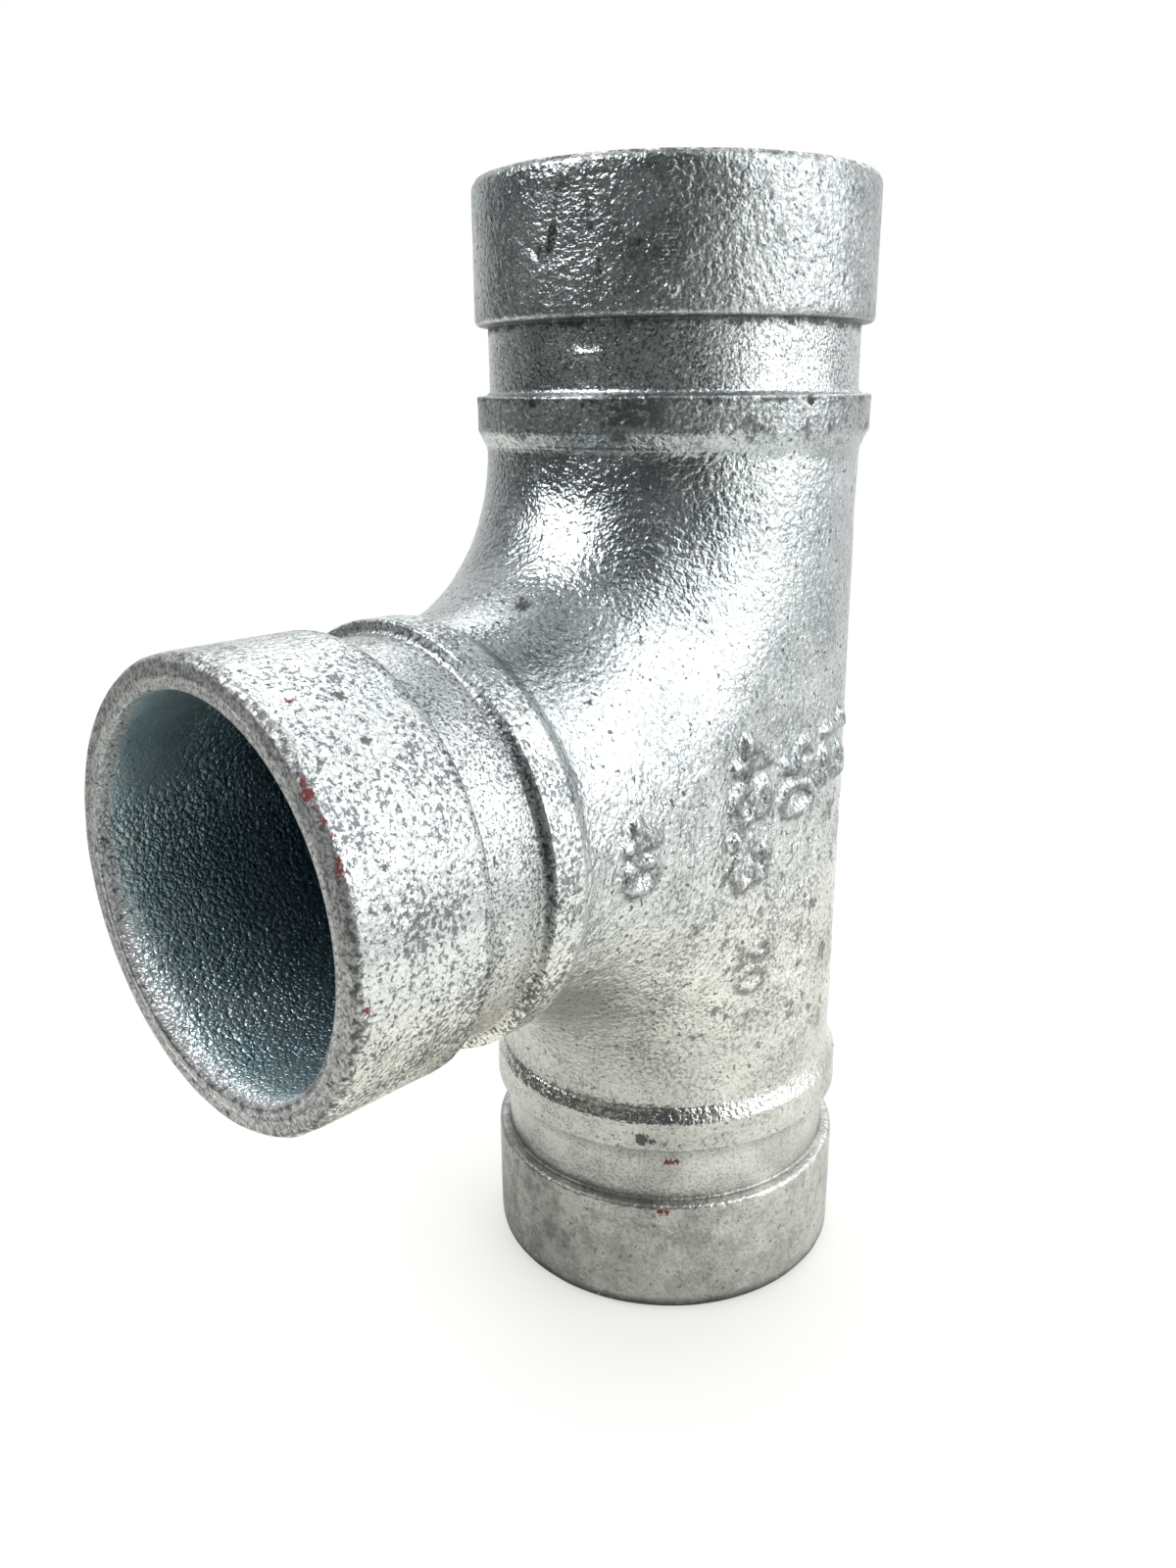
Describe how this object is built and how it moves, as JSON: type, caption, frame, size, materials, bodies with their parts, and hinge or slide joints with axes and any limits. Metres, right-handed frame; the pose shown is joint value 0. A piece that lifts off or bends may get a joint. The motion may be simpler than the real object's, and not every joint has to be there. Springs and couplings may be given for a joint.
{
  "type": "grooved tee",
  "caption": "Cast iron pipe tee with grooved ends: a straight run, a square branch, and a groove and a collar behind each end for clamp couplings.",
  "frame": {"origin": "the point where the run's axis and the branch's axis cross", "axes": "+Z along the run, the branch points along -Y, and the part stands on the run's lower end"},
  "size_m": [0.0482, 0.094, 0.1396],
  "materials": {
    "zinc_coated_iron": "hot-dip galvanised, as cast"
  },
  "bodies": {
    "root": {"tee_body": "zinc_coated_iron"}
  },
  "joints": []
}
